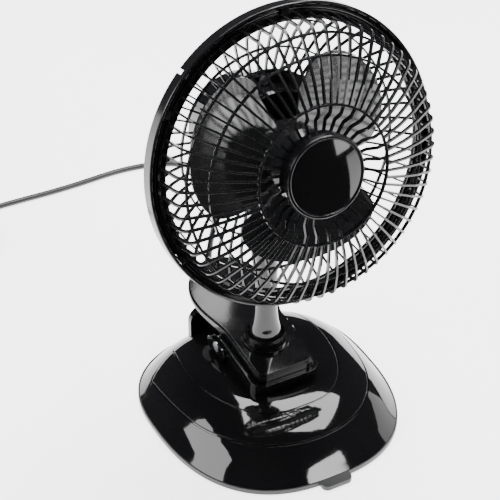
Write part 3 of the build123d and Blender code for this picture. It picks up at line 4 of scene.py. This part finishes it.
import bpy
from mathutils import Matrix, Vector

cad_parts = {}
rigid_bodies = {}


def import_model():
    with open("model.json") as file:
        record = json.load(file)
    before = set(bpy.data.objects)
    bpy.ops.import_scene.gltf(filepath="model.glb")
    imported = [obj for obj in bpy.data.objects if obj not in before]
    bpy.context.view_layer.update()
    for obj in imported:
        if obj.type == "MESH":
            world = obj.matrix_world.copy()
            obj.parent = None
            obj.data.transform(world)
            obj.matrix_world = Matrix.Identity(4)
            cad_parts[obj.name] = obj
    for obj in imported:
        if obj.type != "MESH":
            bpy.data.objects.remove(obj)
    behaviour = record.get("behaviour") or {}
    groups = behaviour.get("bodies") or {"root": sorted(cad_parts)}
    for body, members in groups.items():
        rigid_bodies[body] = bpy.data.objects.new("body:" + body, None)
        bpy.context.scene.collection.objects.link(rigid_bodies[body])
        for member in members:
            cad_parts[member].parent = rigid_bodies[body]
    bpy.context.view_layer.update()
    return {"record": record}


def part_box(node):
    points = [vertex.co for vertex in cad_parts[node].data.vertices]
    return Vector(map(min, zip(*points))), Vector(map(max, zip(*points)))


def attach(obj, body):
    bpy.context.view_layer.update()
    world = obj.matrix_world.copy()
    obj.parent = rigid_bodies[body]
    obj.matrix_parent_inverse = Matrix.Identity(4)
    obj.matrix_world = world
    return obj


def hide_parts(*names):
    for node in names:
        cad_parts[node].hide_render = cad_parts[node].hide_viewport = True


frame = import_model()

MM = 0.001

# ---------------------------------------------------------------- camera
CAMERA_PLACE = Vector((-412.3, -738.7, 752.2)) * MM
CAMERA_AIM = Vector((0.3806, 0.7080, -0.5948))
CAMERA_LENS = 122.4      # mm on the sensor below
CAMERA_SENSOR = 36.0
CAMERA_NEAR = 10 * MM


def add_camera():
    data = bpy.data.cameras.new("camera")
    data.lens = CAMERA_LENS
    data.sensor_width = CAMERA_SENSOR
    data.clip_start = CAMERA_NEAR
    camera = bpy.data.objects.new("camera", data)
    camera.location = CAMERA_PLACE
    camera.rotation_euler = CAMERA_AIM.to_track_quat("-Z", "Y").to_euler()
    bpy.context.scene.collection.objects.link(camera)
    bpy.context.scene.camera = camera


# ---------------------------------------------------------------- node materials
class Shader:
    """A node material: a Principled surface and short calls that add nodes to it."""

    def __init__(self, name):
        self.material = bpy.data.materials.new(name)
        self.material.use_nodes = True
        self.tree = self.material.node_tree
        self.surface = self.tree.nodes["Principled BSDF"]

    def node(self, kind, **values):
        """Add a node; each value goes to the input of that name, or else to the node's own setting."""
        node = self.tree.nodes.new(kind)
        for key, value in values.items():
            if key in node.inputs:
                node.inputs[key].default_value = value
            else:
                setattr(node, key, value)
        return node

    def link(self, out, into):
        self.tree.links.new(out, into)

    def set(self, **values):
        """Give the surface's inputs fixed values; _ stands for a space in their names."""
        for key, value in values.items():
            self.surface.inputs[key.replace("_", " ")].default_value = value
        return self

    def feed(self, **sockets):
        """Link outputs to the surface's inputs; _ stands for a space in their names."""
        for key, out in sockets.items():
            self.link(out, self.surface.inputs[key.replace("_", " ")])
        return self

    def noise(self, scale, detail, stretch=None):
        """Noise in the object's own coordinates, drawn out by stretch along x, y and z."""
        where = self.node("ShaderNodeTexCoord").outputs["Object"]
        if stretch:
            mapping = self.node("ShaderNodeMapping", Scale=stretch)
            self.link(where, mapping.inputs["Vector"])
            where = mapping.outputs["Vector"]
        texture = self.node("ShaderNodeTexNoise", Scale=scale, Detail=detail)
        self.link(where, texture.inputs["Vector"])
        return texture.outputs["Fac"]

    def ramp(self, factor, low_place, low_colour, high_place, high_colour):
        """Colour that runs from low_colour to high_colour between two values of factor."""
        ramp = self.node("ShaderNodeValToRGB")
        stops = ((low_place, low_colour), (high_place, high_colour))
        for element, (place, colour) in zip(ramp.color_ramp.elements, stops):
            element.position = place
            element.color = (*colour, 1.0)
        self.link(factor, ramp.inputs["Fac"])
        return ramp.outputs["Color"]

    def span(self, factor, low, high):
        """Number that runs from low to high over the middle of the noise's range."""
        span = self.node("ShaderNodeMapRange")
        span.inputs["From Min"].default_value = NOISE_LOW
        span.inputs["From Max"].default_value = NOISE_HIGH
        span.inputs["To Min"].default_value = low
        span.inputs["To Max"].default_value = high
        self.link(factor, span.inputs["Value"])
        return span.outputs["Result"]

    def bump(self, height, strength, distance, edge):
        """Normal with the relief of a noise; where edge isn't 0, edges look rounded by that radius."""
        bump = self.node("ShaderNodeBump", Strength=strength, Distance=distance)
        self.link(height, bump.inputs["Height"])
        if edge:
            bevel = self.node("ShaderNodeBevel", samples=BEVEL_SAMPLES, Radius=edge)
            self.link(bevel.outputs["Normal"], bump.inputs["Normal"])
        return bump.outputs["Normal"]


NOISE_LOW = 0.3          # most of a noise's values lie between these two
NOISE_HIGH = 0.7
BEVEL_SAMPLES = 4
EDGE = 0.3 * MM          # radius of a moulded edge
FINE_EDGE = 0.2 * MM     # radius of a machined edge

# noise scales count patches per metre, more or less
DRIFT_SCALE = 14.0       # slow change of a plastic's tone
DRIFT_LOW = 0.35         # where the drift is lower, the tone is the dark one
GLOSS_SCALE = 42.0       # patches of more and less gloss
RIPPLE_DEPTH = 0.2 * MM
DUST_SCALE = 1900.0
DUST_EDGE = (0.76, 0.80)     # only the noise's peaks between these become specks
STREAK_SCALE = 260.0     # turning and drawing marks in metal
STREAK_DEPTH = 0.05 * MM
STREAK_STRENGTH = 0.15


def plastic(name, dark, light, rough, grain, ripple, edge=0.0, dust=0.0, specular=None):
    """Moulded plastic: faint colour drift, uneven gloss, fine surface ripple and, with dust, a few specks."""
    shader = Shader(name)
    colour = shader.ramp(shader.noise(DRIFT_SCALE, detail=4.0), DRIFT_LOW, dark, NOISE_HIGH, light)
    if dust:
        low, high = DUST_EDGE
        specks = shader.ramp(shader.noise(DUST_SCALE, detail=1.0), low, (0, 0, 0), high, (dust, dust, dust))
        mix = shader.node("ShaderNodeMixRGB", blend_type="ADD", Fac=1.0)
        shader.link(colour, mix.inputs["Color1"])
        shader.link(specks, mix.inputs["Color2"])
        colour = mix.outputs["Color"]
    gloss = shader.span(shader.noise(GLOSS_SCALE, detail=5.0), *rough)
    normal = shader.bump(shader.noise(grain, detail=2.0), ripple, RIPPLE_DEPTH, edge)
    if specular:
        shader.set(Specular_IOR_Level=specular)
    return shader.feed(Base_Color=colour, Roughness=gloss, Normal=normal).material


def metal(name, dark, light, rough, stretch, edge=0.0):
    """Drawn or turned metal: fine streaks in tone and gloss."""
    shader = Shader(name).set(Metallic=1.0)
    streak = shader.noise(STREAK_SCALE, detail=4.0, stretch=stretch)
    colour = shader.ramp(streak, NOISE_LOW, dark, NOISE_HIGH, light)
    gloss = shader.span(streak, *rough)
    normal = shader.bump(streak, STREAK_STRENGTH, STREAK_DEPTH, edge)
    return shader.feed(Base_Color=colour, Roughness=gloss, Normal=normal).material


PLASTICS = {
    "gloss_black": dict(
        dark=(0.0035, 0.0035, 0.004), light=(0.006, 0.006, 0.0065), rough=(0.035, 0.07),
        grain=260.0, ripple=0.02, edge=EDGE, dust=0.03),
    "base_plastic": dict(
        dark=(0.016, 0.016, 0.017), light=(0.03, 0.03, 0.032), rough=(0.32, 0.45),
        grain=900.0, ripple=0.25, edge=EDGE),
    "grille_black": dict(
        dark=(0.006, 0.006, 0.007), light=(0.011, 0.011, 0.012), rough=(0.10, 0.16),
        grain=380.0, ripple=0.03, edge=EDGE),
    "blade_black": dict(
        dark=(0.012, 0.012, 0.013), light=(0.018, 0.018, 0.019), rough=(0.10, 0.16),
        grain=60.0, ripple=0.01, specular=0.85),
    "neck_plastic": dict(
        dark=(0.01, 0.01, 0.011), light=(0.018, 0.018, 0.019), rough=(0.06, 0.11),
        grain=500.0, ripple=0.04, edge=EDGE),
    "black_rubber": dict(
        dark=(0.012, 0.012, 0.012), light=(0.02, 0.02, 0.02), rough=(0.6, 0.75),
        grain=1400.0, ripple=0.4),
    "cord_jacket": dict(
        dark=(0.010, 0.010, 0.012), light=(0.018, 0.018, 0.02), rough=(0.35, 0.48),
        grain=1200.0, ripple=0.2),
    "terminal_nylon": dict(
        dark=(0.55, 0.52, 0.45), light=(0.66, 0.63, 0.56), rough=(0.4, 0.55),
        grain=700.0, ripple=0.1),
}

METALS = {
    "screw_steel": dict(
        dark=(0.45, 0.46, 0.48), light=(0.62, 0.63, 0.65), rough=(0.25, 0.4),
        stretch=(1, 1, 6), edge=FINE_EDGE),
    "spring_steel": dict(
        dark=(0.35, 0.35, 0.36), light=(0.5, 0.5, 0.52), rough=(0.22, 0.36),
        stretch=(8, 1, 1)),
    "ballast_iron": dict(
        dark=(0.05, 0.05, 0.05), light=(0.11, 0.105, 0.1), rough=(0.6, 0.8),
        stretch=(1, 1, 1)),
    "pin_brass": dict(
        dark=(0.55, 0.4, 0.15), light=(0.7, 0.53, 0.24), rough=(0.2, 0.34),
        stretch=(1, 6, 1), edge=FINE_EDGE),
    "bearing_bronze": dict(
        dark=(0.3, 0.16, 0.06), light=(0.42, 0.25, 0.1), rough=(0.4, 0.55),
        stretch=(1, 1, 1)),
    "core_steel": dict(
        dark=(0.16, 0.16, 0.17), light=(0.3, 0.3, 0.31), rough=(0.35, 0.55),
        stretch=(1, 14, 1)),
    "coil_copper": dict(
        dark=(0.35, 0.11, 0.04), light=(0.55, 0.2, 0.08), rough=(0.25, 0.4),
        stretch=(1, 1, 12)),
}


def make_materials():
    materials = {name: plastic(name, **looks) for name, looks in PLASTICS.items()}
    materials.update({name: metal(name, **looks) for name, looks in METALS.items()})
    return materials


def dress_nodes(materials):
    """Give each CAD node the material of its slot in the record."""
    for part in frame["record"]["subparts"]:
        slots = bpy.data.objects[part["node"]].data.materials
        slots.clear()
        slots.append(materials[part["material_slot"]])


# ---------------------------------------------------------------- cord
CORD_DIAMETER = 4.4 * MM
# the route and the coil are in mm, as in the part's source
CORD_ROUTE = [
    (25.0, 100.0, 11.0),
    (25.0, 123.0, 11.0),
    (30.0, 150.0, 2.3),
    (52.0, 186.0, 2.3),
    (80.0, 222.0, 2.3),
    (92.0, 256.0, 2.3),
    (74.0, 285.0, 2.3),
    (34.0, 297.0, 2.3),
    (-20.0, 293.0, 2.3),
    (-68.0, 295.0, 2.3),
    (-116.0, 294.5, 2.3),
]
COIL_CENTRE = (-128.0, 262.9)
COIL_RADIUS = 25.0       # the middle of its turns
COIL_COLUMNS = 4
COIL_LAYERS = 2
COIL_LIFT = 0.9          # the tie's strap passes under it
COIL_SHIFT = 0.4         # the last share of a turn, in which the cord moves over to the next one
POINTS_PER_TURN = 16
PLUG_HOLD = 1.0          # the cord ends this deep in the plug
CORD_FACETS = 5


def coil_points():
    """Control points of the coil: each layer's turns lie side by side, the first at the rim."""
    pitch = CORD_DIAMETER / MM
    rim = COIL_RADIUS + (COIL_COLUMNS - 1) / 2 * pitch
    turns = [(rim - column * pitch, 0) for column in range(COIL_COLUMNS)]
    turns += [(radius, 1) for radius, _ in reversed(turns)]
    # control points stand a little outside the circle that the spline then follows
    spread = 1 / cos(pi / POINTS_PER_TURN) ** 0.5
    steps = COIL_COLUMNS * COIL_LAYERS * POINTS_PER_TURN + POINTS_PER_TURN // 4
    points = []
    for step in range(1, steps + 1):
        turn, part = divmod(step, POINTS_PER_TURN)
        here = turns[min(turn, len(turns) - 1)]
        after = turns[min(turn + 1, len(turns) - 1)]
        share = max(0.0, part / POINTS_PER_TURN - 1 + COIL_SHIFT) / COIL_SHIFT
        radius = spread * (here[0] + (after[0] - here[0]) * share)
        layer = here[1] + (after[1] - here[1]) * share
        angle = pi / 2 + 2 * pi * step / POINTS_PER_TURN
        x = COIL_CENTRE[0] + radius * cos(angle)
        y = COIL_CENTRE[1] + radius * sin(angle)
        points.append((x, y, COIL_LIFT + pitch / 2 + layer * pitch))
    return points


def plug_point():
    """The cord's far end, inside the rear of the plug."""
    low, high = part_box("plug_body")
    return ((low[0] + high[0]) / 2 / MM, high[1] / MM - PLUG_HOLD, (low[2] + high[2]) / 2 / MM)


def make_cord(material):
    points = CORD_ROUTE + coil_points() + [plug_point()]
    curve = bpy.data.curves.new("cord", "CURVE")
    curve.dimensions = "3D"
    spline = curve.splines.new("NURBS")
    spline.points.add(len(points) - 1)
    for point, place in zip(spline.points, points):
        point.co = (*(value * MM for value in place), 1.0)
    spline.order_u = 3
    spline.use_endpoint_u = True
    spline.resolution_u = 8
    curve.bevel_depth = CORD_DIAMETER / 2
    curve.bevel_resolution = CORD_FACETS
    curve.materials.append(material)
    cord = bpy.data.objects.new("cord", curve)
    bpy.context.scene.collection.objects.link(cord)
    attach(cord, "base")
    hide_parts("power_cord", "cord_coil")


# ---------------------------------------------------------------- studio
FLOOR_GLOW = 3.2
FLOOR_ROUGHNESS = 0.5
FLOOR_SCALE = 3.0
FLOOR_DARK = (0.86, 0.86, 0.865)
FLOOR_LIGHT = (0.9, 0.9, 0.905)
# the table ends in front of the fan, so that the hub cap reflects a dark room on its left
FLOOR_OUTLINE = [(-6, -0.24), (0.2, -0.24), (1.6, -2.0), (6, -2.0), (6, 6), (-6, 6)]

LIGHT_TARGET = Vector((0, 0, 0.12))      # the fan's neck
# azimuth from +Y towards +X and elevation in degrees, distance and size in metres, power in watts
SOFTBOXES = {
    "top_box": (60, 70, 1.38, (1.09, 0.90), 44),
    "left_box": (-76, 36, 1.7, (1.15, 0.75), 22),
    "front_box": (155, 39, 1.7, (0.5, 0.16), 4.5),
    "right_card": (98, 10, 1.9, (1.6, 0.6), 8),
    "fill_box": (143, 12, 2.0, (0.34, 0.5), 4),
    "jaw_card": (32.4, 52.4, 1.64, (0.06, 0.06), 0.1),
}
TOP_BOX_TURN = -33       # degrees; the top box hangs level, turned about the vertical
WORLD_TINT = (0.9, 0.92, 1.0, 1.0)
WORLD_STRENGTH = 0.05


def add_floor():
    mesh = bpy.data.meshes.new("floor")
    mesh.from_pydata([(x, y, 0) for x, y in FLOOR_OUTLINE], [], [range(len(FLOOR_OUTLINE))])
    floor = bpy.data.objects.new("floor", mesh)
    bpy.context.scene.collection.objects.link(floor)
    shader = Shader("floor_white").set(Roughness=FLOOR_ROUGHNESS, Emission_Strength=FLOOR_GLOW)
    tone = shader.ramp(shader.noise(FLOOR_SCALE, detail=2.0), NOISE_LOW, FLOOR_DARK, NOISE_HIGH, FLOOR_LIGHT)
    shader.feed(Base_Color=tone, Emission_Color=tone)
    mesh.materials.append(shader.material)


def softbox(name, azimuth, elevation, distance, size, power):
    """Area light aimed at the fan."""
    data = bpy.data.lights.new(name, "AREA")
    data.shape = "RECTANGLE"
    data.size, data.size_y = size
    data.energy = power
    turn = radians(azimuth)
    rise = radians(elevation)
    place = distance * Vector((sin(turn) * cos(rise), cos(turn) * cos(rise), sin(rise)))
    light = bpy.data.objects.new(name, data)
    light.location = place
    light.rotation_euler = (LIGHT_TARGET - place).to_track_quat("-Z", "Y").to_euler()
    bpy.context.scene.collection.objects.link(light)


def add_lights():
    for name, facts in SOFTBOXES.items():
        softbox(name, *facts)
    bpy.data.objects["top_box"].rotation_euler = (0, 0, radians(TOP_BOX_TURN))


def add_world():
    world = bpy.data.worlds.new("studio")
    world.use_nodes = True
    background = world.node_tree.nodes["Background"]
    background.inputs["Color"].default_value = WORLD_TINT
    background.inputs["Strength"].default_value = WORLD_STRENGTH
    bpy.context.scene.world = world


def main():
    add_camera()
    materials = make_materials()
    make_cord(materials["cord_jacket"])
    dress_nodes(materials)
    add_floor()
    add_lights()
    add_world()


main()
